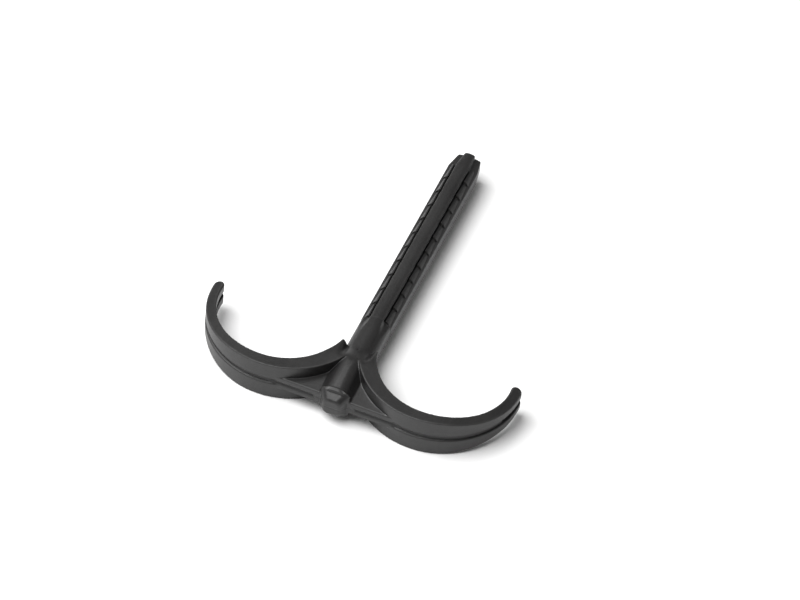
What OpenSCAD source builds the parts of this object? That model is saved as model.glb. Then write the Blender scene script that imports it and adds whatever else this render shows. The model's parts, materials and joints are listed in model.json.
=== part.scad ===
// Double pipe hook: a barbed shank for a drilled hole, and two open seats for pipes.
// X runs across both hooks, +Y runs along the shank to its tip, Z is the hook's thickness.
// The origin is on the shank's axis, level with the centres of both pipe seats.
// Every node is one region of a single plastic moulding, closed and met face to face.

/* [Pipe seats] */
// Radius of each pipe seat
seat_r = 16.2; // [15:0.1:16.2]
// Distance from the shank's axis to a seat's centre
seat_x = 20.4; // [20.3:0.1:21]

/* [Arms] */
// Arm thickness where it leaves the hub
root_t = 4.6; // [4:0.1:5]
// Arm thickness at the foot of the seat
foot_t = 2.9; // [2.5:0.1:3.3]
// Arm thickness at its tip
tip_t = 2.6; // [2.2:0.1:3]
// Height of the arms at the hub
arm_h = 11; // [10:0.2:12]
// Height of the arms at their tips
tip_h = 5.6; // [5:0.2:8]
// Level of the tips, above the seats' centres
tip_y = 1.2; // [0:0.1:1.6]
// Width of the groove between the upper and lower rail
groove_w = 1.4; // [1:0.1:2]
// Depth of that groove in the arm's outer wall
groove_d = 0.7; // [0.4:0.1:1.2]
// Length of the fork that splits each tip
fork_l = 6; // [3:0.5:9]

/* [Hub] */
// Half width of the hub, out to where the arms begin
hub_x = 7; // [6:0.5:8]
// Level of the hub's shoulders, below the seats' centres
shoulder_y = 3.4; // [2:0.2:5]
// Level of the web's straight outer edge, below the seats' centres
web_y = 18.4; // [18:0.1:18.8]
// Thickness of the web plates
web_t = 3.4; // [2:0.1:3.6]

/* [Strike boss] */
// Radius of the boss where it leaves the spine
boss_r = 3.5; // [3:0.1:4]
// Radius of the flat face that the hammer strikes
face_r = 2.6; // [2:0.1:2.9]
// Height of the boss below the web's edge
boss_l = 1.8; // [1:0.2:3]

/* [Shank] */
// Diameter of the smooth root, for the drilled hole
shank_d = 8.1; // [8:0.1:8.2]
// Level of the shank's tip, above the seats' centres
shank_l = 67.4; // [66:0.2:70]
// Length of the smooth root above the seats' centres
root_l = 7.6; // [6:0.2:9]
// Width of the smooth ridge along the shank's top and bottom
ridge_w = 3.4; // [3:0.1:4]
// Height of the plain band along the shank's sides
band_h = 4.2; // [3.6:0.2:4.6]
// Number of barbs in one row
barb_n = 11; // [8:1:11]
// Distance from one barb to the next
barb_pitch = 5; // [4.4:0.1:5]

/* [Hidden] */
$fn = 96;
black = [0.16, 0.155, 0.155];
far = 100;
// the arm's outer wall is a circle that isn't concentric with the seat, so the arm thins to its tip
outer_r = seat_r + (root_t + tip_t) / 2;
outer_x = seat_x - (root_t - tip_t) / 2;
outer_y = outer_r - seat_r - foot_t;
// the rounded tip is a hair thinner than the arm is at its own level
tip_in = seat_x + sqrt(seat_r * seat_r - tip_y * tip_y);
tip_out = outer_x + sqrt(outer_r * outer_r - pow(tip_y - outer_y, 2));
tip_x = (tip_in + tip_out) / 2;
tip_r = (tip_out - tip_in) / 2 - 0.02;
// the arms' top and bottom faces curve down to the tips on a large circle
crown_drop = (arm_h - tip_h) / 2;
crown_run = tip_out - seat_x;
crown_r = (crown_run * crown_run / crown_drop + crown_drop) / 2;
// the web's edge meets the arm's outer wall at this distance from the axis
web_x = outer_x - sqrt(outer_r * outer_r - pow(web_y + outer_y, 2));
// the keel fills the crotch between the two arms, and the spine runs on from it to the boss
keel_y = 11;
keel_w = 3.8;
spine_r = 2.3;
crest_w = 2.6;
crest_drop = 0.3;
saddle_y = 8.5;
saddle_w = 5.2;
// the barbs stand just inside the root's diameter, so that a drilled hole still guides the root
barb_r = shank_d / 2 - 0.17;
band_x = 3.75;
barb_gap = 0.25;
barb_low = 0.2;
barb_l = barb_pitch * 0.93;
tip_l = shank_l - root_l - barb_n * barb_pitch;
tip_scale = 0.77;

// a cylinder along +Y from level y0 to level y1
module bar_y(y0, y1, r0, r1) {
    translate([0, y0, 0])
        rotate([-90, 0, 0])
            cylinder(h = y1 - y0, r1 = r0, r2 = r1);
}

// a block given by its two opposite corners
module block(low, high) {
    translate(low)
        cube(high - low);
}

module seat_hole() {
    translate([seat_x, 0, -far])
        cylinder(h = 2 * far, r = seat_r, $fn = 180);
}

module outer_disc(inset, z0, z1) {
    translate([outer_x, outer_y, z0])
        cylinder(h = z1 - z0, r = outer_r - inset, $fn = 180);
}

// all that lies under the arm's curved top face, on the right-hand side
module under_crown(x0, z0) {
    block([x0, -far, z0], [seat_x, far, arm_h / 2]);
    intersection() {
        block([seat_x, -far, z0], [tip_x + tip_t, far, arm_h / 2]);
        translate([seat_x, far, arm_h / 2 - crown_r])
            rotate([90, 0, 0])
                cylinder(h = 2 * far, r = crown_r, $fn = 360);
    }
}

// plan of the right-hand arm from distance x0 to its rounded tip, between two heights
module arm_plan(x0, inset, z0, z1) {
    difference() {
        intersection() {
            outer_disc(inset, z0, z1);
            block([x0, -far, z0], [far, tip_y, z1]);
        }
        seat_hole();
    }
}

module upper_rail_right() {
    color(black)
        intersection() {
            union() {
                arm_plan(hub_x, 0, groove_w / 2, arm_h / 2);
                difference() {
                    translate([tip_x, tip_y, groove_w / 2])
                        cylinder(h = arm_h / 2, r = tip_r, $fn = 32);
                    seat_hole();
                }
            }
            under_crown(hub_x, groove_w / 2);
        }
}

module arm_core_right() {
    color(black)
        difference() {
            union() {
                intersection() {
                    arm_plan(hub_x, 0, -groove_w / 2, groove_w / 2);
                    block([hub_x, -far, -far], [web_x, 0, far]);
                }
                arm_plan(hub_x, groove_d, -groove_w / 2, groove_w / 2);
            }
            block([seat_x, -fork_l, -far], [far, far, far]);
        }
}

module web_right() {
    color(black)
        difference() {
            block([keel_w / 2, -web_y, -web_t / 2], [web_x, -keel_y + 2, web_t / 2]);
            outer_disc(0, -far, far);
            spine_cone();
            keel();
        }
}

module keel() {
    block([-keel_w / 2, -keel_y, -arm_h / 2], [keel_w / 2, -shoulder_y, arm_h / 2]);
}

// the two halves of the hub are the arms' own outer discs, joined by the keel
module hub_block() {
    color(black)
        difference() {
            union() {
                keel();
                for (side = [0, 1])
                    mirror([side, 0, 0])
                        intersection() {
                            outer_disc(0, -arm_h / 2, arm_h / 2);
                            block([0, -far, -far], [hub_x, -shoulder_y, far]);
                        }
            }
            for (side = [0, 1])
                mirror([side, 0, 0])
                    seat_hole();
            for (face = [0, 1])
                mirror([0, 0, face])
                    saddle();
        }
}

// the ramp that takes the hub's top face down to the shank
module saddle() {
    translate([-saddle_w / 2, 0, 0])
        rotate([90, 0, 90])
            linear_extrude(saddle_w)
                polygon([
                    [-saddle_y, arm_h / 2], [-shoulder_y, shank_d / 2],
                    [0, shank_d / 2], [0, arm_h]
                ]);
}

module spine_cone() {
    bar_y(-web_y, -keel_y, boss_r, spine_r);
}

// the spine is a cone that widens to the boss, under a crest that falls from the hub's top face
module strike_spine() {
    color(black)
        union() {
            spine_cone();
            translate([-crest_w / 2, 0, 0])
                rotate([90, 0, 90])
                    linear_extrude(crest_w)
                        polygon([
                            [-web_y, boss_r - crest_drop], [-keel_y, arm_h / 2],
                            [-keel_y, -arm_h / 2], [-web_y, crest_drop - boss_r]
                        ]);
        }
}

module strike_boss() {
    color(black)
        bar_y(-web_y - boss_l, -web_y, face_r, boss_r);
}

module shank_root() {
    color(black)
        bar_y(-shoulder_y, root_l, shank_d / 2, shank_d / 2);
}

// the round bar with its plain side bands, less the four channels that the barbs stand in
module shank_section(y0, y1, r0, r1) {
    difference() {
        intersection() {
            bar_y(y0, y1, r0, r1);
            block([-band_x, y0, -far], [band_x, y1, far]);
        }
        for (side = [0, 1])
            for (face = [0, 1])
                mirror([side, 0, 0])
                    mirror([0, 0, face])
                        block([ridge_w / 2, y0 - 1, band_h / 2], [far, y1 + 1, far]);
    }
}

module shank_core() {
    color(black)
        shank_section(root_l, shank_l - tip_l, barb_r, barb_r);
}

module shank_tip() {
    color(black)
        shank_section(shank_l - tip_l, shank_l, barb_r, barb_r * tip_scale);
}

// one row of ramped barbs, each steep towards the hub and falling towards the tip
module barb_row() {
    color(black)
        intersection() {
            for (i = [0 : barb_n - 1])
                translate([ridge_w / 2 + barb_gap, root_l + i * barb_pitch, 0])
                    rotate([90, 0, 90])
                        linear_extrude(band_x - ridge_w / 2 - barb_gap)
                            polygon([
                                [0, band_h / 2], [0, barb_r],
                                [barb_l, band_h / 2 + barb_low], [barb_l, band_h / 2]
                            ]);
            bar_y(root_l, shank_l, barb_r, barb_r);
        }
}

shank_root();
shank_core();
shank_tip();
barb_row();  // barbs_upper_right
mirror([1, 0, 0]) barb_row();  // barbs_upper_left
mirror([0, 0, 1]) barb_row();  // barbs_lower_right
mirror([1, 0, 0]) mirror([0, 0, 1]) barb_row();  // barbs_lower_left
hub_block();
strike_spine();
strike_boss();
web_right();
mirror([1, 0, 0]) web_right();  // web_left
arm_core_right();
mirror([1, 0, 0]) arm_core_right();  // arm_core_left
upper_rail_right();
mirror([1, 0, 0]) upper_rail_right();  // upper_rail_left
mirror([0, 0, 1]) upper_rail_right();  // lower_rail_right
mirror([1, 0, 0]) mirror([0, 0, 1]) upper_rail_right();  // lower_rail_left
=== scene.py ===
# %% [markdown]
# # A double pipe hook
#
# This is a plastic hook for two pipes. It is hammered into a drilled hole, and a pipe then lies in
# each of its two open seats. The whole hook is one moulding: a barbed shank, a hub, two arms, two
# thin webs and a boss for the hammer.
#
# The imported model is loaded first. It is the frame that every piece below must fit.

# %% Load the frame
import json
import math

import bpy
import numpy as np
from mathutils import Matrix, Vector

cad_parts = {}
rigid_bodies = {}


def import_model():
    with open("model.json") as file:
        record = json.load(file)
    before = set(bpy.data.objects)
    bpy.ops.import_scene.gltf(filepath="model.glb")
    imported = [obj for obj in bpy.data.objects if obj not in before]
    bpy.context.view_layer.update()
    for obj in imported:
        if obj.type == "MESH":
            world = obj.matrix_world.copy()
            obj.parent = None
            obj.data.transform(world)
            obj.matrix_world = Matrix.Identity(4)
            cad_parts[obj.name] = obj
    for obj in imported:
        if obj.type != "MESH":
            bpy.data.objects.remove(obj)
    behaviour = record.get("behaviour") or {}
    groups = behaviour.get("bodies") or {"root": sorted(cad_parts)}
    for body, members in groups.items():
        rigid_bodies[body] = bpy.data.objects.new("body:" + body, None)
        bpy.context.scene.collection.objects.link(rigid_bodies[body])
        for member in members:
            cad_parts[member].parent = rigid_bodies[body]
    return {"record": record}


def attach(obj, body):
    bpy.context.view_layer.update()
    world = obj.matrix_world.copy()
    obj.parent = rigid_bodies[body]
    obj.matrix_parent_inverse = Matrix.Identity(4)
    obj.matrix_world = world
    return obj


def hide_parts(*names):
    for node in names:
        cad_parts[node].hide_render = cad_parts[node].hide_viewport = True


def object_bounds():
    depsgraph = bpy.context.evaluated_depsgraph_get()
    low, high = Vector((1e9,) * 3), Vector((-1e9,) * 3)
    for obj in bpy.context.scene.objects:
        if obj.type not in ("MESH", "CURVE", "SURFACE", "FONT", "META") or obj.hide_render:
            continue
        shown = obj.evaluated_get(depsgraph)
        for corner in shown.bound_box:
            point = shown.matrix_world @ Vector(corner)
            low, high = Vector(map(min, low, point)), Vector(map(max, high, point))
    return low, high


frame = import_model()
cad_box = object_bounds()
print("the model's box in mm:", [[round(c * 1000, 2) for c in corner] for corner in cad_box])

# %% [markdown]
# ## Sizes
#
# The seats and the shank are mounts in the model's record, so their places and radii are read from
# there. The rest are the moulding's own sizes, in millimetres. The origin is on the shank's axis,
# level with the centres of both seats, and the hook is mirrored left to right and top to bottom.

# %% Sizes from the record, and the moulding's own
MM = 0.001
mounts = {m["name"]: m for m in frame["record"]["mounts"]}
SEAT_X = mounts["right_pipe_seat"]["pos_m"][0] / MM
SEAT_R = mounts["right_pipe_seat"]["dims"]["r_mm"]
SHANK_R = mounts["shank"]["dims"]["r_mm"]

ROOT_T, FOOT_T, TIP_T = 4.6, 2.9, 2.6        # the arm's thickness: at the hub, its foot, its tip
OUTER_R = SEAT_R + (ROOT_T + TIP_T) / 2      # the arm's outer wall is a circle of its own
OUTER_X = SEAT_X - (ROOT_T - TIP_T) / 2
OUTER_Y = OUTER_R - SEAT_R - FOOT_T
TIP_Y_LEVEL = 1.2                            # the tips stand this far above the seats' centres
TIP_IN = SEAT_X + math.sqrt(SEAT_R ** 2 - TIP_Y_LEVEL ** 2)
TIP_OUT = OUTER_X + math.sqrt(OUTER_R ** 2 - (TIP_Y_LEVEL - OUTER_Y) ** 2)
TIP_X, TIP_R = (TIP_IN + TIP_OUT) / 2, (TIP_OUT - TIP_IN) / 2
ARM_Z, TIP_Z = 5.5, 2.8                      # half the arm's height, at the hub and at the tip
SHOULDER_Y = -3.0                            # where the arms end beside the shank
WEB_Y, WEB_Z = -18.4, 1.9                    # the web's straight edge, and half its thickness
SPINE_Z = 4.3                                # the top of the spine where it meets the web's edge
BOSS_Y = -20.2                               # the face that the hammer strikes
BAND_X = 3.72                                # the flat sides of the shank
ROOT_Y = 7.6                                 # where the smooth root ends and the barbs begin
TIP_Y = cad_box[1][1] / MM
print(f"seats {2 * SEAT_R:.1f} mm wide, {2 * SEAT_X:.1f} mm apart; shank {2 * SHANK_R:.1f} mm")

# %% [markdown]
# ## The mark of a bend
#
# On a moulding the sharp corners are handled most, so they are a little paler than the flat faces.
# The inner corners are painted darker, as painted shade. Each mesh gets an attribute for that,
# called "bend": above zero on an outer corner, below zero in an inner one, and zero on a flat face.

# %% Helpers that make a mesh and mark its bends
BEND_LIMIT = 2.0                             # in turns of the normal for each millimetre
SHORTEST_STEP = 0.01


def mark_bends(mesh):
    points = np.empty(len(mesh.vertices) * 3)
    normals = np.empty(len(mesh.vertices) * 3)
    ends = np.empty(len(mesh.edges) * 2, dtype=int)
    mesh.vertices.foreach_get("co", points)
    mesh.vertices.foreach_get("normal", normals)
    mesh.edges.foreach_get("vertices", ends)
    points, normals = points.reshape(-1, 3) / MM, normals.reshape(-1, 3)
    ends = ends.reshape(-1, 2)
    step = points[ends[:, 1]] - points[ends[:, 0]]
    turn = normals[ends[:, 1]] - normals[ends[:, 0]]
    bend = (step * turn).sum(1) / np.maximum((step * step).sum(1), SHORTEST_STEP ** 2)
    total, count = np.zeros(len(points)), np.zeros(len(points))
    for side in (0, 1):
        np.add.at(total, ends[:, side], bend)
        np.add.at(count, ends[:, side], 1)
    mark = mesh.attributes.new("bend", "FLOAT", "POINT")
    mean = np.clip(total / np.maximum(count, 1), -BEND_LIMIT, BEND_LIMIT)
    mark.data.foreach_set("value", mean.astype(np.float32))


def new_piece(name, mesh):
    piece = bpy.data.objects.new(name, mesh)
    bpy.context.scene.collection.objects.link(piece)
    return piece


def mesh_of(name, points_mm, faces):
    mesh = bpy.data.meshes.new(name)
    mesh.from_pydata((np.asarray(points_mm) * MM).tolist(), [], [list(map(int, f)) for f in faces])
    mesh.update()
    mesh.shade_smooth()
    return mesh


# %% [markdown]
# ## The plastic's finish
#
# The hook is made here as a black moulded plastic with a fine texture from its tool. Three things
# vary over it: the texture, faint smudges from hands, and the corners, which are paler where
# rubbed and painted darker inside as shade.
# Each is a node group, made once. A group only puts out colours, masks and heights, and the
# shader itself stays in the material.

# %% A small kit for node trees
MIX_FIRST, MIX_SECOND, MIX_RESULT = 6, 7, 2  # the colour sockets of a mix node


def new_group(name, inputs, outputs):
    group = bpy.data.node_groups.new(name, "ShaderNodeTree")
    for label, kind, value in inputs:
        socket = group.interface.new_socket(label, in_out="INPUT", socket_type="NodeSocket" + kind)
        if value is not None:
            socket.default_value = value
    for label, kind in outputs:
        group.interface.new_socket(label, in_out="OUTPUT", socket_type="NodeSocket" + kind)
    return group, group.nodes.new("NodeGroupInput"), group.nodes.new("NodeGroupOutput")


def wire(tree, source, target):
    tree.links.new(source, target)


def calc(tree, operation, first, second=None, third=None, clamp=False):
    node = tree.nodes.new("ShaderNodeMath")
    node.operation = operation
    node.use_clamp = clamp
    for slot, value in enumerate((first, second, third)):
        if value is None:
            continue
        if isinstance(value, (int, float)):
            node.inputs[slot].default_value = value
        else:
            wire(tree, value, node.inputs[slot])
    return node.outputs[0]


def noise(tree, place, scale, detail=3.0, rough=0.5, stretch=None):
    if stretch is not None:
        mapping = tree.nodes.new("ShaderNodeMapping")
        mapping.inputs["Scale"].default_value = stretch
        wire(tree, place, mapping.inputs["Vector"])
        place = mapping.outputs[0]
    node = tree.nodes.new("ShaderNodeTexNoise")
    node.inputs["Detail"].default_value = detail
    node.inputs["Roughness"].default_value = rough
    wire(tree, place, node.inputs["Vector"])
    if isinstance(scale, (int, float)):
        node.inputs["Scale"].default_value = scale
    else:
        wire(tree, scale, node.inputs["Scale"])
    return node.outputs["Fac"]


def spread(tree, value, low, high, to_low=0.0, to_high=1.0):
    node = tree.nodes.new("ShaderNodeMapRange")
    node.interpolation_type = "SMOOTHSTEP"
    for label, number in (("From Min", low), ("From Max", high),
                          ("To Min", to_low), ("To Max", to_high)):
        node.inputs[label].default_value = number
    wire(tree, value, node.inputs["Value"])
    return node.outputs["Result"]


def mix_colour(tree, mask, first, second):
    node = tree.nodes.new("ShaderNodeMix")
    node.data_type = "RGBA"
    wire(tree, mask, node.inputs["Factor"])
    for slot, value in ((MIX_FIRST, first), (MIX_SECOND, second)):
        if isinstance(value, tuple):
            node.inputs[slot].default_value = (*value, 1)
        else:
            wire(tree, value, node.inputs[slot])
    return node.outputs[MIX_RESULT]


# %% The tool's texture: a fine grain with a slow swell under it
def tool_texture():
    group, entry, exit_ = new_group(
        "tool texture",
        [("Place", "Vector", None), ("Grain", "Float", 2600.0), ("Swell", "Float", 140.0)],
        [("Height", "Float"), ("Grain Mask", "Float")])
    place = entry.outputs["Place"]
    grain = noise(group, place, entry.outputs["Grain"], detail=4, rough=0.6)
    swell = noise(group, place, entry.outputs["Swell"], detail=2)
    height = calc(group, "MULTIPLY_ADD", swell, 0.35, calc(group, "MULTIPLY", grain, 0.65))
    wire(group, height, exit_.inputs["Height"])
    wire(group, spread(group, grain, 0.35, 0.68), exit_.inputs["Grain Mask"])
    return group


# %% Smudges from hands, and the faint streaks where the plastic flowed along the part
def handling():
    group, entry, exit_ = new_group(
        "handling",
        [("Place", "Vector", None), ("Smudge Size", "Float", 90.0)],
        [("Smudge", "Float"), ("Flow", "Float")])
    place = entry.outputs["Place"]
    smudge = noise(group, place, entry.outputs["Smudge Size"], detail=5, rough=0.6)
    flow = noise(group, place, 160.0, detail=3, stretch=(3.0, 0.35, 3.0))
    wire(group, spread(group, smudge, 0.38, 0.66), exit_.inputs["Smudge"])
    wire(group, spread(group, flow, 0.35, 0.68), exit_.inputs["Flow"])
    return group


# %% Corners: paler where they are rubbed, and painted shade inside
def corner_wear():
    group, entry, exit_ = new_group(
        "corner wear and painted shade",
        [("Place", "Vector", None), ("Bend", "Float", 0.0), ("Break Up", "Float", 420.0)],
        [("Rubbed", "Float"), ("Painted Shade", "Float")])
    patches = noise(group, entry.outputs["Place"], entry.outputs["Break Up"], detail=4, rough=0.65)
    rubbed = spread(group, entry.outputs["Bend"], 0.12, 1.1)
    patchy = spread(group, patches, 0.3, 0.62, 0.35, 1.0)
    wire(group, calc(group, "MULTIPLY", rubbed, patchy), exit_.inputs["Rubbed"])
    # The inner corners' mask is painted shade: it darkens them as shade would.
    inner = calc(group, "MULTIPLY", entry.outputs["Bend"], -1.0)
    wire(group, spread(group, inner, 0.1, 1.0), exit_.inputs["Painted Shade"])
    return group


# %% The line where the two halves of the tool met, at the middle of the thickness: a small groove, painted darker as shade
def parting_line():
    group, entry, exit_ = new_group(
        "parting line",
        [("Place", "Vector", None), ("Half Width", "Float", 0.00018)],
        [("Line", "Float")])
    parts = group.nodes.new("ShaderNodeSeparateXYZ")
    wire(group, entry.outputs["Place"], parts.inputs[0])
    ripple = noise(group, entry.outputs["Place"], 700.0)
    wander = calc(group, "MULTIPLY_ADD", ripple, 0.00008, -0.00004)
    off = calc(group, "ABSOLUTE", calc(group, "ADD", parts.outputs["Z"], wander))
    share = calc(group, "DIVIDE", off, entry.outputs["Half Width"])
    wire(group, spread(group, share, 0.6, 1.4, 1.0, 0.0), exit_.inputs["Line"])
    return group


GROUPS = {make.__name__: make() for make in (tool_texture, handling, corner_wear, parting_line)}
print("node groups:", ", ".join(sorted(GROUPS)))


# %% [markdown]
# ## The black plastic
#
# The barbs and the body are the same plastic. One function builds its material, so that the body,
# the shank and the barbs differ only in a few values. The barbs get a little more gloss, paler
# corners and a stronger grain.

# %% The material
BLACK = (0.0086, 0.0083, 0.0084)
RUBBED = (0.04, 0.039, 0.038)
# The colour of the painted shade in the inner corners and along the parting line.
PAINTED_SHADE = (0.006, 0.006, 0.006)


def black_plastic(name, roughness, relief, rub, mottle):
    material = bpy.data.materials.new(name)
    material.use_nodes = True
    tree = material.node_tree
    shader = tree.nodes["Principled BSDF"]
    shader.inputs["IOR"].default_value = 1.5
    place = tree.nodes.new("ShaderNodeTexCoord").outputs["Object"]
    bend = tree.nodes.new("ShaderNodeAttribute")
    bend.attribute_name = "bend"
    used = {}
    for label, group in GROUPS.items():
        used[label] = tree.nodes.new("ShaderNodeGroup")
        used[label].node_tree = group
        wire(tree, place, used[label].inputs["Place"])
    wire(tree, bend.outputs["Fac"], used["corner_wear"].inputs["Bend"])
    texture, hands = used["tool_texture"].outputs, used["handling"].outputs
    corners, line = used["corner_wear"].outputs, used["parting_line"].outputs["Line"]

    worn = calc(tree, "MULTIPLY", corners["Rubbed"], rub)
    pale = calc(tree, "MULTIPLY", hands["Flow"], 0.10)
    colour = mix_colour(tree, pale, BLACK, RUBBED)
    grains = calc(tree, "MULTIPLY", texture["Grain Mask"], mottle)
    colour = mix_colour(tree, grains, colour, RUBBED)
    colour = mix_colour(tree, worn, colour, RUBBED)
    # Painted shade: the inner corners and the parting line's groove are made darker here.
    painted_shade_mask = calc(tree, "MAXIMUM", calc(tree, "MULTIPLY", corners["Painted Shade"], 0.6),
                calc(tree, "MULTIPLY", line, 0.5), clamp=True)
    wire(tree, mix_colour(tree, painted_shade_mask, colour, PAINTED_SHADE), shader.inputs["Base Color"])

    gloss = calc(tree, "MULTIPLY_ADD", hands["Smudge"], -0.07, roughness)
    gloss = calc(tree, "MULTIPLY_ADD", texture["Grain Mask"], 0.05, gloss)
    gloss = calc(tree, "MULTIPLY_ADD", corners["Rubbed"], 0.18, gloss, clamp=True)
    wire(tree, gloss, shader.inputs["Roughness"])

    height = calc(tree, "MULTIPLY_ADD", line, -0.8, texture["Height"])
    bump = tree.nodes.new("ShaderNodeBump")
    bump.inputs["Strength"].default_value = relief
    bump.inputs["Distance"].default_value = 0.00006
    wire(tree, height, bump.inputs["Height"])
    wire(tree, bump.outputs[0], shader.inputs["Normal"])
    return material


body_plastic = black_plastic(
    "black_plastic_body", roughness=0.42, relief=0.8, rub=0.2, mottle=0.14)
shank_plastic = black_plastic(
    "black_plastic_shank", roughness=0.42, relief=1.0, rub=0.2, mottle=0.22)
barb_plastic = black_plastic(
    "black_plastic_barbs", roughness=0.40, relief=1.0, rub=0.3, mottle=0.30)
print("materials:", body_plastic.name, shank_plastic.name, barb_plastic.name)

# %% [markdown]
# ## The body of the moulding
#
# The arms, the hub, the webs, the spine and the boss flow into each other with small fillets, as
# they must in a moulding tool. Blocks joined face to face would show creases. So the body is
# written as one rule: a function that says how far a point is from the surface. Two simple forms
# are joined with a fillet, or one is cut from another with a rounded edge, by mixing their
# distances. Because the hook is mirrored both ways, the rule is written for one quarter only.

# %% Joining and cutting with rounded edges
def trim(first, second, radius):
    """What lies inside both forms, with its outer edge rounded."""
    over_a, over_b = np.maximum(first + radius, 0), np.maximum(second + radius, 0)
    return np.minimum(np.maximum(first, second), -radius) + np.hypot(over_a, over_b)


def fuse(first, second, radius):
    """Both forms together, with a fillet in the inner corner."""
    near_a, near_b = np.maximum(radius - first, 0), np.maximum(radius - second, 0)
    return np.maximum(np.minimum(first, second), radius) - np.hypot(near_a, near_b)


def cut(form, tool, radius):
    return trim(form, -tool, radius)


def ramp(value, start, end, low=0.0, high=1.0):
    share = np.clip((value - start) / (end - start), 0, 1)
    return low + (high - low) * share


def ease(value, start, end, low=0.0, high=1.0):
    share = np.clip((value - start) / (end - start), 0, 1)
    return low + (high - low) * share * share * (3 - 2 * share)


# %% One arm, with its grooved outer wall and forked tip
EDGE_R, TIP_EXTRA_R = 0.17, 0.4              # the edges' rounding, and how much it grows at the tip
INNER_END_R, GROOVE_EDGE_R, FORK_R = 0.45, 0.25, 0.5
CROWN_DROP = ARM_Z - TIP_Z
CROWN_RUN = TIP_OUT - SEAT_X
CROWN_R = (CROWN_RUN ** 2 / CROWN_DROP + CROWN_DROP) / 2
GROOVE_Z, GROOVE_DEPTH, GROOVE_X = 0.78, 0.55, 11
GROOVE_DRAFT = 0.3                           # the groove's walls lean, to let it out of the tool
FORK_Y, FORK_X = -6.0, 28
FORK_Z, FORK_TIP_Z = 0.6, 0.7                # half the fork's gap, where it begins and at the tip


def arm_and_hub(x, y, z):
    wall = np.hypot(x - OUTER_X, y - OUTER_Y) - OUTER_R
    seat = SEAT_R - np.hypot(x - SEAT_X, y)
    ends = np.where(x > SEAT_X, y - TIP_Y_LEVEL, y - SHOULDER_Y)
    plan = np.maximum(wall, trim(seat, ends, INNER_END_R))
    tip = np.maximum(np.hypot(x - TIP_X, y - TIP_Y_LEVEL) - TIP_R, seat)
    plan = np.minimum(plan, tip)
    flat = z - ARM_Z
    fall = np.hypot(x - SEAT_X, z - (ARM_Z - CROWN_R)) - CROWN_R
    crown = np.where(x > SEAT_X, fall, flat)
    softer = ease(y, -7, 0, 0, TIP_EXTRA_R) * (x > SEAT_X)
    arm = trim(plan, crown, EDGE_R + softer)
    groove_side = (z - GROOVE_Z + GROOVE_DRAFT * np.maximum(-wall, 0)) * 0.95
    groove = np.maximum(groove_side, -wall - GROOVE_DEPTH)
    arm = cut(arm, np.maximum(groove, GROOVE_X - x), GROOVE_EDGE_R)
    fork = trim(z - ramp(y, FORK_Y, 0, FORK_Z, FORK_TIP_Z), FORK_Y - y, FORK_R)
    return cut(arm, np.maximum(fork, FORK_X - x), GROOVE_EDGE_R)


# %% [markdown]
# The web's plate reaches a little way into the arm's wall and thickens towards the hub, and its
# straight edge has a small groove at half its height. Sloping faces are scaled by the cosine of
# their slope, here and below, so that the rule stays close to a true distance.

# %% The web
WEB_OVERLAP, WEB_TOP_Y, WEB_END_X = 1.2, -8, 17
WEB_RISE, WEB_LIP = 0.07, 0.6                # its slope, and the level strip along its edge
WEB_GROOVE_Z, WEB_GROOVE_Y, WEB_GROOVE_X = 0.6, 0.35, 3.2


def web(x, y, z):
    into_arm = OUTER_R - np.hypot(x - OUTER_X, y - OUTER_Y)
    plan = np.maximum(np.maximum(WEB_Y - y, into_arm - WEB_OVERLAP), y - WEB_TOP_Y)
    plan = np.maximum(plan, x - WEB_END_X)
    rise = WEB_RISE * np.maximum(y - WEB_Y - WEB_LIP, 0)
    plate = trim(z - WEB_Z - rise, plan, 0.25)
    wedge = (z / WEB_GROOVE_Z + (y - WEB_Y) / WEB_GROOVE_Y - 1) * 0.3
    return cut(plate, np.maximum(wedge, WEB_GROOVE_X - x), 0.15)


# %% The spine that carries the hammer's blow, and the boss at its end
SPINE_TOP_Y, SPINE_END_Y = -9.0, -4.5        # where its crest begins to fall, and where it ends
CREST_X, CREST_EDGE_X, CREST_R = 1.6, 1.9, 1.1
CREST_POWER = 1.1                            # above 1, the crest falls faster near the web's edge
FLANK_LEAN = 0.8
BOSS_TOP_Y = WEB_Y + 0.8
BOSS_X, FACE_X, FACE_Z, BOSS_R = 3.9, 2.1, 2.3, 1.2


def spine(x, y, z):
    """A broad rib with sloping flanks that falls from the hub's top face to the web's edge."""
    top = ARM_Z + 0.02 - (ARM_Z - SPINE_Z) * ramp(y, SPINE_TOP_Y, WEB_Y) ** CREST_POWER
    crest = ramp(y, SPINE_TOP_Y, WEB_Y, CREST_X, CREST_EDGE_X)
    flank = (x - crest - FLANK_LEAN * (top - z)) * 0.78
    rib = trim(flank, z - top, CREST_R)
    return trim(np.maximum(rib, y - SPINE_END_Y), WEB_Y - y, 0.3)


def boss(x, y, z):
    """Four tapered faces with rounded edges, and a small flat face for the hammer."""
    side = (x - ramp(y, BOSS_TOP_Y, BOSS_Y, BOSS_X, FACE_X)) * 0.8
    face = (z - ramp(y, BOSS_TOP_Y, BOSS_Y, SPINE_Z, FACE_Z)) * 0.79
    block = trim(side, face, BOSS_R)
    return trim(np.maximum(block, y - BOSS_TOP_Y), BOSS_Y - y, 0.4)


# %% The smooth root of the shank, with the valleys that lead to the barbs' channels
VALLEY_R, VALLEY_DEPTH = 1.0, 0.55
VALLEY_LEAN = math.radians(38)
VALLEY_Y = 1.5                               # where the valleys begin
ROOT_END_Y = -9                              # the bar's hidden end, inside the hub


def root(x, y, z):
    bar = trim(np.hypot(x, z) - SHANK_R, x - BAND_X, 0.18)
    depth = ease(y, VALLEY_Y, ROOT_Y, -0.3, VALLEY_DEPTH)
    reach = SHANK_R + VALLEY_R - depth
    centre_x, centre_z = reach * math.sin(VALLEY_LEAN), reach * math.cos(VALLEY_LEAN)
    bar = cut(bar, np.hypot(x - centre_x, z - centre_z) - VALLEY_R, 0.45)
    return trim(np.maximum(bar, ROOT_END_Y - y), y - ROOT_Y, 0.15)


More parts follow.
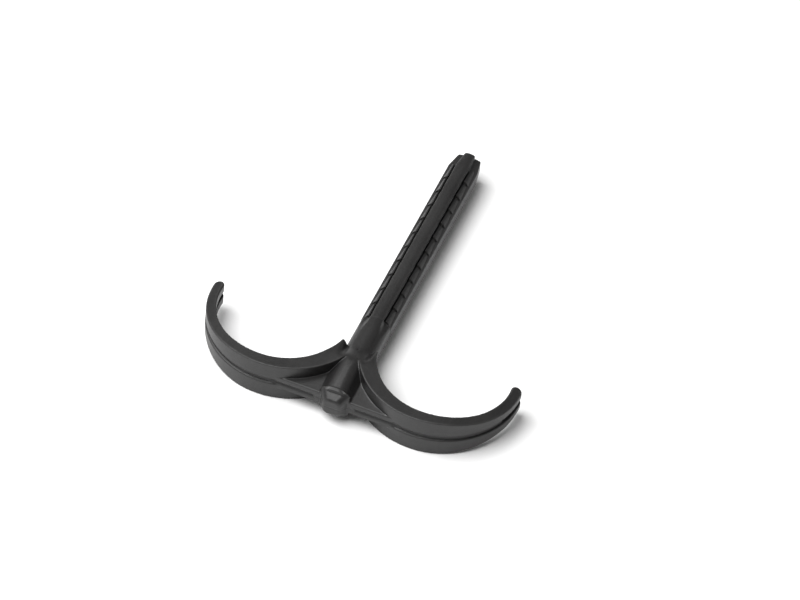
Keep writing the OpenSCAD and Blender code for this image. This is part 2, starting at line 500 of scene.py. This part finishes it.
# %% The saddle where the hub's top runs down to the shank, and the whole body
SADDLE_Y = (-9.2, -3.0)                      # where it begins to fall, and where it is lowest
SADDLE_X = (2.4, 4.4)                        # where its floor climbs to the shoulders' level
SHOULDER_Z = 4.9
ROOF_EDGE_R = 0.2
SPINE_FILLET, WEB_FILLET, BOSS_FILLET = 0.4, 0.18, 0.2
ROOT_FILLET_X, ROOT_FILLET = (3.3, 4.0), (0.02, 0.6)


def saddle(x, y):
    """The height of the hub's top face."""
    shank_top = np.sqrt(SHANK_R ** 2 - np.minimum(x, 3.2) ** 2)
    low = shank_top + ease(x, *SADDLE_X) * (SHOULDER_Z - shank_top)
    return ARM_Z - ease(y, *SADDLE_Y) * (ARM_Z - low)


def body(x, y, z):
    """The whole rule. The root's fillet grows beside the shank, where it meets the shoulders."""
    x, z = np.abs(x), np.abs(z)
    form = arm_and_hub(x, y, z)
    form = fuse(form, spine(x, y, z), SPINE_FILLET)
    form = trim(form, z - saddle(x, y), ROOF_EDGE_R)
    form = fuse(form, root(x, y, z), ease(x, *ROOT_FILLET_X, *ROOT_FILLET))
    form = fuse(form, web(x, y, z), WEB_FILLET)
    form = fuse(form, boss(x, y, z), BOSS_FILLET)
    form = np.maximum(form, SEAT_R - np.hypot(x - SEAT_X, y))
    return np.maximum(form, np.maximum(y - ROOT_Y, z - ARM_Z))


# %% [markdown]
# ## From the rule to a mesh
#
# The rule is sampled on a fine lattice. Each cell that the surface passes through gets one point,
# and the points of four cells round a crossed lattice edge make one face. This is called a surface
# net. Its points are then slid a few times along the rule's slope, which brings them onto the
# surface. The slope also gives each point its normal, so that the flat faces shade flat.

# %% The surface net
def cell_points(field, inside, origin, step):
    """One point for each cell that the surface passes: the mean of its crossings with the edges."""
    shape = [n - 1 for n in field.shape]
    total, count = np.zeros(shape + [3]), np.zeros(shape)
    for axis in range(3):
        others = [a for a in range(3) if a != axis]
        for shift in np.ndindex(2, 2):
            low = [slice(0, n) for n in shape]
            for other, s in zip(others, shift):
                low[other] = slice(s, s + shape[other])
            high = list(low)
            high[axis] = slice(1, 1 + shape[axis])
            low, high = tuple(low), tuple(high)
            crossed = inside[low] != inside[high]
            share = field[low][crossed] / (field[low][crossed] - field[high][crossed])
            add = np.zeros((len(share), 3))
            add[:, axis] = share
            for other, s in zip(others, shift):
                add[:, other] = s
            total[crossed] += add
            count[crossed] += 1
    cells = np.argwhere(count > 0)
    offset = total[count > 0] / count[count > 0][:, None]
    names = np.full(shape, -1)
    names[count > 0] = np.arange(len(cells))
    return origin + step * (cells + offset), names


def cell_faces(inside, names):
    faces = []
    for axis in range(3):
        first, second = (axis + 1) % 3, (axis + 2) % 3
        span = [slice(1, -1)] * 3
        span[axis] = slice(0, -1)
        ahead = list(span)
        ahead[axis] = slice(1, None)
        here, there = inside[tuple(span)], inside[tuple(ahead)]
        for crossed, outward in ((here & ~there, True), (~here & there, False)):
            at = np.argwhere(crossed)
            at[:, first] += 1
            at[:, second] += 1
            ring = []
            for a, b in ((-1, -1), (0, -1), (0, 0), (-1, 0)):
                cell = at.copy()
                cell[:, first] += a
                cell[:, second] += b
                ring.append(names[cell[:, 0], cell[:, 1], cell[:, 2]])
            quad = np.stack(ring, 1)
            faces.append(quad if outward else quad[:, ::-1])
    return np.concatenate(faces)


SLIDES, LONGEST_SLIDE, LEAST_GRADE = 3, 0.1, 0.5


def slope(rule, points, reach=0.02):
    columns = []
    for axis in range(3):
        push = np.zeros(3)
        push[axis] = reach
        ahead, behind = (points + push).T, (points - push).T
        columns.append((rule(*ahead) - rule(*behind)) / (2 * reach))
    return np.stack(columns, 1)


def net_of(rule, low, high, step):
    low, high = np.array(low, float), np.array(high, float)
    counts = np.ceil((high - low) / step).astype(int) + 1
    axes = [low[a] + step * np.arange(counts[a]) for a in range(3)]
    field = rule(*np.meshgrid(*axes, indexing="ij"))
    inside = field < 0
    points, names = cell_points(field, inside, low, step)
    faces = cell_faces(inside, names)
    for _ in range(SLIDES):
        grade = slope(rule, points)
        off = rule(*points.T) / np.maximum((grade * grade).sum(1), LEAST_GRADE ** 2)
        points -= np.clip(off, -LONGEST_SLIDE, LONGEST_SLIDE)[:, None] * grade
    grade = slope(rule, points)
    return points, faces, grade / np.linalg.norm(grade, axis=1)[:, None]


# %% Make the body
LATTICE = 0.26                               # the size of a cell
low_mm = (-39.65, -20.71, -5.85)
high_mm = (39.65, 8.3, 5.85)
points, faces, normals = net_of(body, low_mm, high_mm, LATTICE)
body_mesh = mesh_of("moulded_body", points, faces)
mark_bends(body_mesh)
body_mesh.normals_split_custom_set_from_vertices(normals.tolist())
body_piece = new_piece("moulded_body", body_mesh)
body_mesh.materials.append(body_plastic)
print("body:", len(faces), "faces,", np.round(points.min(0), 2), "to", np.round(points.max(0), 2))

# %% [markdown]
# ## The shank's bar
#
# Beyond its smooth root the shank is a bar with a ridge along its top and its bottom, flat bands
# along its sides, and four channels between them for the barbs. Its section never changes until
# the last few millimetres, where it tapers to help it into the hole. So it is drawn as one section
# and lofted along the shank.

# %% The bar's section
BAR_R = SHANK_R - 0.17                       # a hair inside the root, which the hole guides
RIDGE_X = 1.7                                # half the ridge's width
BAND_Z = 1.9                                 # half the height of the flat sides
SHELF_X = 3.3                                # the plain shelf between the barbs and the flat side
CORNER_R, SIDE_R = 0.3, 0.2                  # the section's rounded corners
TAPER_Y = TIP_Y - 4.8
TIP_SCALE = 0.77
NOSE, NOSE_SHRINK = 0.55, 0.16               # the rounding at the very end
BAR_OVERLAP = 0.6                            # how far the bar reaches back into the root


def arc(radius, start, end, count):
    angle = np.linspace(start, end, count)
    return np.stack([radius * np.sin(angle), radius * np.cos(angle)], 1)


def rounded_corner(centre, radius, start, end, count=4):
    """A rounded corner of the section, from one compass angle to another."""
    return np.array(centre) + arc(radius, math.radians(start), math.radians(end), count)


def bar_section():
    """One quarter, from the top of the ridge to the side band, mirrored into the other three."""
    ridge = arc(BAR_R, 0, math.asin((RIDGE_X - 0.25) / BAR_R), 8)
    lip = rounded_corner((RIDGE_X - CORNER_R, ridge[-1, 1] - 0.38), CORNER_R, 15, 90)
    gutter = rounded_corner((RIDGE_X + CORNER_R, BAND_Z + 0.55), CORNER_R, 270, 180)
    shelf = np.array([[2.6, BAND_Z + 0.2], [SHELF_X, BAND_Z - 0.05]])
    side = rounded_corner((BAND_X - SIDE_R, BAND_Z - 0.25), SIDE_R, 20, 90)
    band = np.array([[BAND_X, 1.0], [BAND_X, 0.5], [BAND_X, 0.0]])
    quarter = np.concatenate([ridge, lip, gutter, shelf, side, band])
    lower = quarter[:-1][::-1] * [1, -1]
    right = np.concatenate([quarter, lower])
    left = right[1:-1][::-1] * [-1, 1]
    return np.concatenate([right, left])


# %% Loft it along the shank
def loft(section, levels, scales):
    count = len(section)
    rings = [np.stack([section[:, 0] * s, np.full(count, y), section[:, 1] * s], 1)
             for y, s in zip(levels, scales)]
    points = np.concatenate(rings + [[[0, levels[0], 0]], [[0, levels[-1], 0]]])
    faces = []
    for ring in range(len(levels) - 1):
        for i in range(count):
            j, base = (i + 1) % count, ring * count
            faces.append((base + i, base + j, base + count + j, base + count + i))
    first, last = len(levels) * count, len(levels) * count + 1
    top = (len(levels) - 1) * count
    for i in range(count):
        j = (i + 1) % count
        faces.append((first, j, i))
        faces.append((last, top + i, top + j))
    return points, faces


straight = np.linspace(ROOT_Y - BAR_OVERLAP, TAPER_Y, 56)
tapered = np.linspace(TAPER_Y, TIP_Y - NOSE, 12)[1:]
rounded = TIP_Y - NOSE * (1 - np.sin(np.linspace(0, math.pi / 2, 7)[1:]))
levels = np.concatenate([straight, tapered, rounded])
along_nose = ramp(levels, TIP_Y - NOSE, TIP_Y, 0, 0.999)
scales = ramp(levels, TAPER_Y, TIP_Y, 1.0, TIP_SCALE)
scales = scales * (1 - NOSE_SHRINK * (1 - np.sqrt(1 - along_nose ** 2)))
section = bar_section()
bar_points, bar_faces = loft(section, levels, scales)
bar_mesh = mesh_of("shank_bar", bar_points, bar_faces)
bar_mesh.set_sharp_from_angle(angle=math.radians(40))
mark_bends(bar_mesh)
bar_mesh.materials.append(shank_plastic)
bar_piece = new_piece("shank_bar", bar_mesh)
print("bar:", len(section), "points in the section,", len(levels), "levels")

# %% [markdown]
# ## The barbs
#
# Each channel holds a row of eleven barbs. A barb is a ramp: it rises slowly from the tip's side
# and drops steeply towards the hub, so the shank slides in and can't be drawn out. The same barb
# is repeated along the row, which is work for Geometry Nodes: one barb goes in, and the row comes
# out. The row is turned into a plain mesh and mirrored into the other three channels.

# %% One barb
BARB_PITCH = 5.0
BARB_COUNT = 11
BARB_LENGTH = 4.97
BARB_DROP = 0.28                             # how far each barb falls towards the tip
BARB_IN, BARB_OUT = RIDGE_X + 0.36, SHELF_X + 0.05
BARB_ROWS, BARB_COLUMNS = 22, 9              # its mesh: rows along the shank, columns across
BARB_FOOT = BAND_Z - 0.5                     # the hidden bottom of its walls
SKIRT, SKIRT_X = 0.18, 0.3                   # how its inner edge is rounded down


def barb_height(along, x):
    """The top of the barb follows the shank's round outline, and shrinks towards the tip."""
    rise = ease(along, 0.0, 0.06, BAND_Z + 0.75, 3.4)
    radius = BAR_R - 0.03 - BARB_DROP * np.clip((along - 0.04) / 0.96, 0, 1)
    return min(rise, math.sqrt(max(radius * radius - x * x, 0)))


def barb_mesh():
    shares = np.concatenate([np.linspace(0, 0.1, 6), np.linspace(0.14, 1, BARB_ROWS - 6)])
    points, faces = [], []
    for share in shares:
        inner = BARB_IN + 0.22 * ease(share, 0.05, 0.9)
        outer = BARB_OUT - 0.12 * ease(share, 0.1, 1.0)
        y = ROOT_Y + BARB_LENGTH * share
        points.append((inner, y, BARB_FOOT))
        for x in np.linspace(inner, outer, BARB_COLUMNS):
            skirt = SKIRT * (1 - min(1, (x - inner) / SKIRT_X)) ** 2
            points.append((x, y, max(barb_height(share, x) - skirt, BARB_FOOT + 0.1)))
        points.append((outer, y, BARB_FOOT))
    width = BARB_COLUMNS + 2
    for row in range(len(shares) - 1):
        for col in range(width):
            a, b = row * width + col, row * width + (col + 1) % width
            faces.append((a, a + width, b + width, b))
    faces.append(tuple(range(width)))
    faces.append(tuple(reversed(range((len(shares) - 1) * width, len(shares) * width))))
    return mesh_of("barb", points, faces)


# %% The row, in Geometry Nodes
RANDOM_MIN, RANDOM_MAX, RANDOM_RESULT = 2, 3, 1   # the number sockets of a random value node


def barb_row_tree():
    tree = bpy.data.node_groups.new("barb row", "GeometryNodeTree")
    tree.is_modifier = True
    sockets = {}
    for label, kind in (("Barb", "Geometry"), ("Count", "Int"), ("Pitch", "Float"),
                        ("Unevenness", "Float"), ("Seed", "Int"), ("Plastic", "Material")):
        sockets[label] = tree.interface.new_socket(
            label, in_out="INPUT", socket_type="NodeSocket" + kind)
    tree.interface.new_socket("Row", in_out="OUTPUT", socket_type="NodeSocketGeometry")
    entry, exit_ = tree.nodes.new("NodeGroupInput"), tree.nodes.new("NodeGroupOutput")
    step = tree.nodes.new("ShaderNodeCombineXYZ")
    line = tree.nodes.new("GeometryNodeMeshLine")
    place = tree.nodes.new("GeometryNodeInstanceOnPoints")
    vary = tree.nodes.new("FunctionNodeRandomValue")
    vary.data_type = "FLOAT"
    size = tree.nodes.new("ShaderNodeCombineXYZ")
    size.inputs["X"].default_value = 1.0
    size.inputs["Y"].default_value = 1.0
    real = tree.nodes.new("GeometryNodeRealizeInstances")
    paint = tree.nodes.new("GeometryNodeSetMaterial")
    wire(tree, entry.outputs["Pitch"], step.inputs["Y"])
    wire(tree, entry.outputs["Count"], line.inputs["Count"])
    wire(tree, step.outputs[0], line.inputs["Offset"])
    wire(tree, line.outputs[0], place.inputs["Points"])
    wire(tree, entry.outputs["Barb"], place.inputs["Instance"])
    lowest = calc(tree, "SUBTRACT", 1.0, entry.outputs["Unevenness"])
    wire(tree, lowest, vary.inputs[RANDOM_MIN])
    vary.inputs[RANDOM_MAX].default_value = 1.0
    wire(tree, entry.outputs["Seed"], vary.inputs["Seed"])
    wire(tree, vary.outputs[RANDOM_RESULT], size.inputs["Z"])
    wire(tree, size.outputs[0], place.inputs["Scale"])
    wire(tree, place.outputs[0], real.inputs[0])
    wire(tree, real.outputs[0], paint.inputs[0])
    wire(tree, entry.outputs["Plastic"], paint.inputs["Material"])
    wire(tree, paint.outputs[0], exit_.inputs[0])
    return tree, sockets


# %% Build one row, then mirror it into the four channels
row_tree, row_sockets = barb_row_tree()
maker = new_piece("barb_maker", barb_mesh())
modifier = maker.modifiers.new("row", "NODES")
modifier.node_group = row_tree
for label, value in (("Count", BARB_COUNT), ("Pitch", BARB_PITCH * MM), ("Unevenness", 0.025),
                     ("Seed", 7), ("Plastic", barb_plastic)):
    modifier[row_sockets[label].identifier] = value
evaluated = maker.evaluated_get(bpy.context.evaluated_depsgraph_get())
row_mesh = bpy.data.meshes.new_from_object(evaluated)
maker.modifiers.remove(modifier)
bpy.data.objects.remove(maker)

row_points = np.empty(len(row_mesh.vertices) * 3)
row_mesh.vertices.foreach_get("co", row_points)
row_points = row_points.reshape(-1, 3) / MM
row_faces = [tuple(polygon.vertices) for polygon in row_mesh.polygons]
barb_pieces = {}
for level, sign_z in (("upper", 1), ("lower", -1)):
    for side, sign_x in (("right", 1), ("left", -1)):
        turned = row_points * [sign_x, 1, sign_z]
        order = -1 if sign_x * sign_z < 0 else 1     # a mirrored face is wound the other way
        row = mesh_of(f"barbs_{level}_{side}_row", turned, [face[::order] for face in row_faces])
        row.set_sharp_from_angle(angle=math.radians(38))
        mark_bends(row)
        row.materials.append(barb_plastic)
        barb_pieces[f"barbs_{level}_{side}"] = new_piece(row.name, row)
bpy.data.meshes.remove(row_mesh)
print("barbs:", len(barb_pieces), "rows of", BARB_COUNT, "with", len(row_faces), "faces each")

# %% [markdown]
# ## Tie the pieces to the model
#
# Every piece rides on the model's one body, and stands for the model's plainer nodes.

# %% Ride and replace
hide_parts("hub_block", "shank_root", "strike_spine", "strike_boss",
            "web_left", "web_right", "arm_core_left", "arm_core_right",
            "upper_rail_left", "upper_rail_right", "lower_rail_left", "lower_rail_right")
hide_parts("shank_core", "shank_tip")
for node, piece in barb_pieces.items():
    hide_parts(node)
for piece in (body_piece, bar_piece, *barb_pieces.values()):
    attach(piece, "root")

# %% [markdown]
# ## The floor, the light and the camera
#
# The hook lies on a white table in soft daylight. The light comes from high on the left, so the
# shadow falls to the right. The vertical walls face the bright table and look paler than the top
# faces, which see a darker room.

# %% The floor
FLOOR_X, FLOOR_Z = 900, -ARM_Z - 0.02
corners = [(-FLOOR_X, -FLOOR_X), (FLOOR_X, -FLOOR_X), (FLOOR_X, FLOOR_X), (-FLOOR_X, FLOOR_X)]
floor_mesh = mesh_of("floor", [(x, y, FLOOR_Z) for x, y in corners], [(0, 1, 2, 3)])
floor_paint = bpy.data.materials.new("white_table")
floor_paint.use_nodes = True
floor_shader = floor_paint.node_tree.nodes["Principled BSDF"]
for label, value in (("Base Color", (0.9, 0.9, 0.9, 1)), ("Roughness", 0.7),
                     ("Specular IOR Level", 0.2)):
    floor_shader.inputs[label].default_value = value
floor_mesh.materials.append(floor_paint)
floor = new_piece("floor", floor_mesh)

# %% The room's light and the window's
scene = bpy.context.scene
scene.view_settings.view_transform = "Standard"
world = bpy.data.worlds.new("room")
world.use_nodes = True
room = world.node_tree.nodes["Background"]
room.inputs["Color"].default_value = (1.0, 0.995, 0.985, 1)
room.inputs["Strength"].default_value = 0.22
scene.world = world


def area_light(name, place_mm, aim_mm, size_mm, watts):
    light = bpy.data.lights.new(name, "AREA")
    light.shape = "RECTANGLE"
    light.size, light.size_y = size_mm[0] * MM, size_mm[1] * MM
    light.energy = watts
    lamp = bpy.data.objects.new(name, light)
    place, aim = Vector(place_mm) * MM, Vector(aim_mm) * MM
    turn = (aim - place).to_track_quat("-Z", "Y").to_matrix().to_4x4()
    lamp.matrix_world = Matrix.Translation(place) @ turn
    scene.collection.objects.link(lamp)


area_light("window", (-400, -170, 850), (0, 10, 0), (920, 920), 18)
print("lights: one window and the room")

# %% The camera
AZIMUTH, ELEVATION, ROLL = (math.radians(angle) for angle in (17.31, 48.11, 6.56))
CAMERA_AIM = (1.88, 17.80, 0.41)
CAMERA_DISTANCE = 1291.5
VIEW_WIDTH = 189.57                          # what the view takes in at that distance
SENSOR = 36


def place_camera():
    data = bpy.data.cameras.new("camera")
    data.sensor_width = SENSOR
    data.lens = SENSOR * CAMERA_DISTANCE / VIEW_WIDTH
    camera = bpy.data.objects.new("camera", data)
    flat = math.cos(ELEVATION)
    back = Vector((math.sin(AZIMUTH) * flat, -math.cos(AZIMUTH) * flat, math.sin(ELEVATION)))
    level = Vector((math.cos(AZIMUTH), math.sin(AZIMUTH), 0))
    right = math.cos(ROLL) * level + math.sin(ROLL) * back.cross(level)
    turn = Matrix((right, back.cross(right), back)).transposed().to_4x4()
    place = (Vector(CAMERA_AIM) + CAMERA_DISTANCE * back) * MM
    camera.matrix_world = Matrix.Translation(place) @ turn
    scene.collection.objects.link(camera)
    scene.camera = camera
    return camera


camera = place_camera()
print("camera at", [round(c / MM) for c in camera.location], "mm")
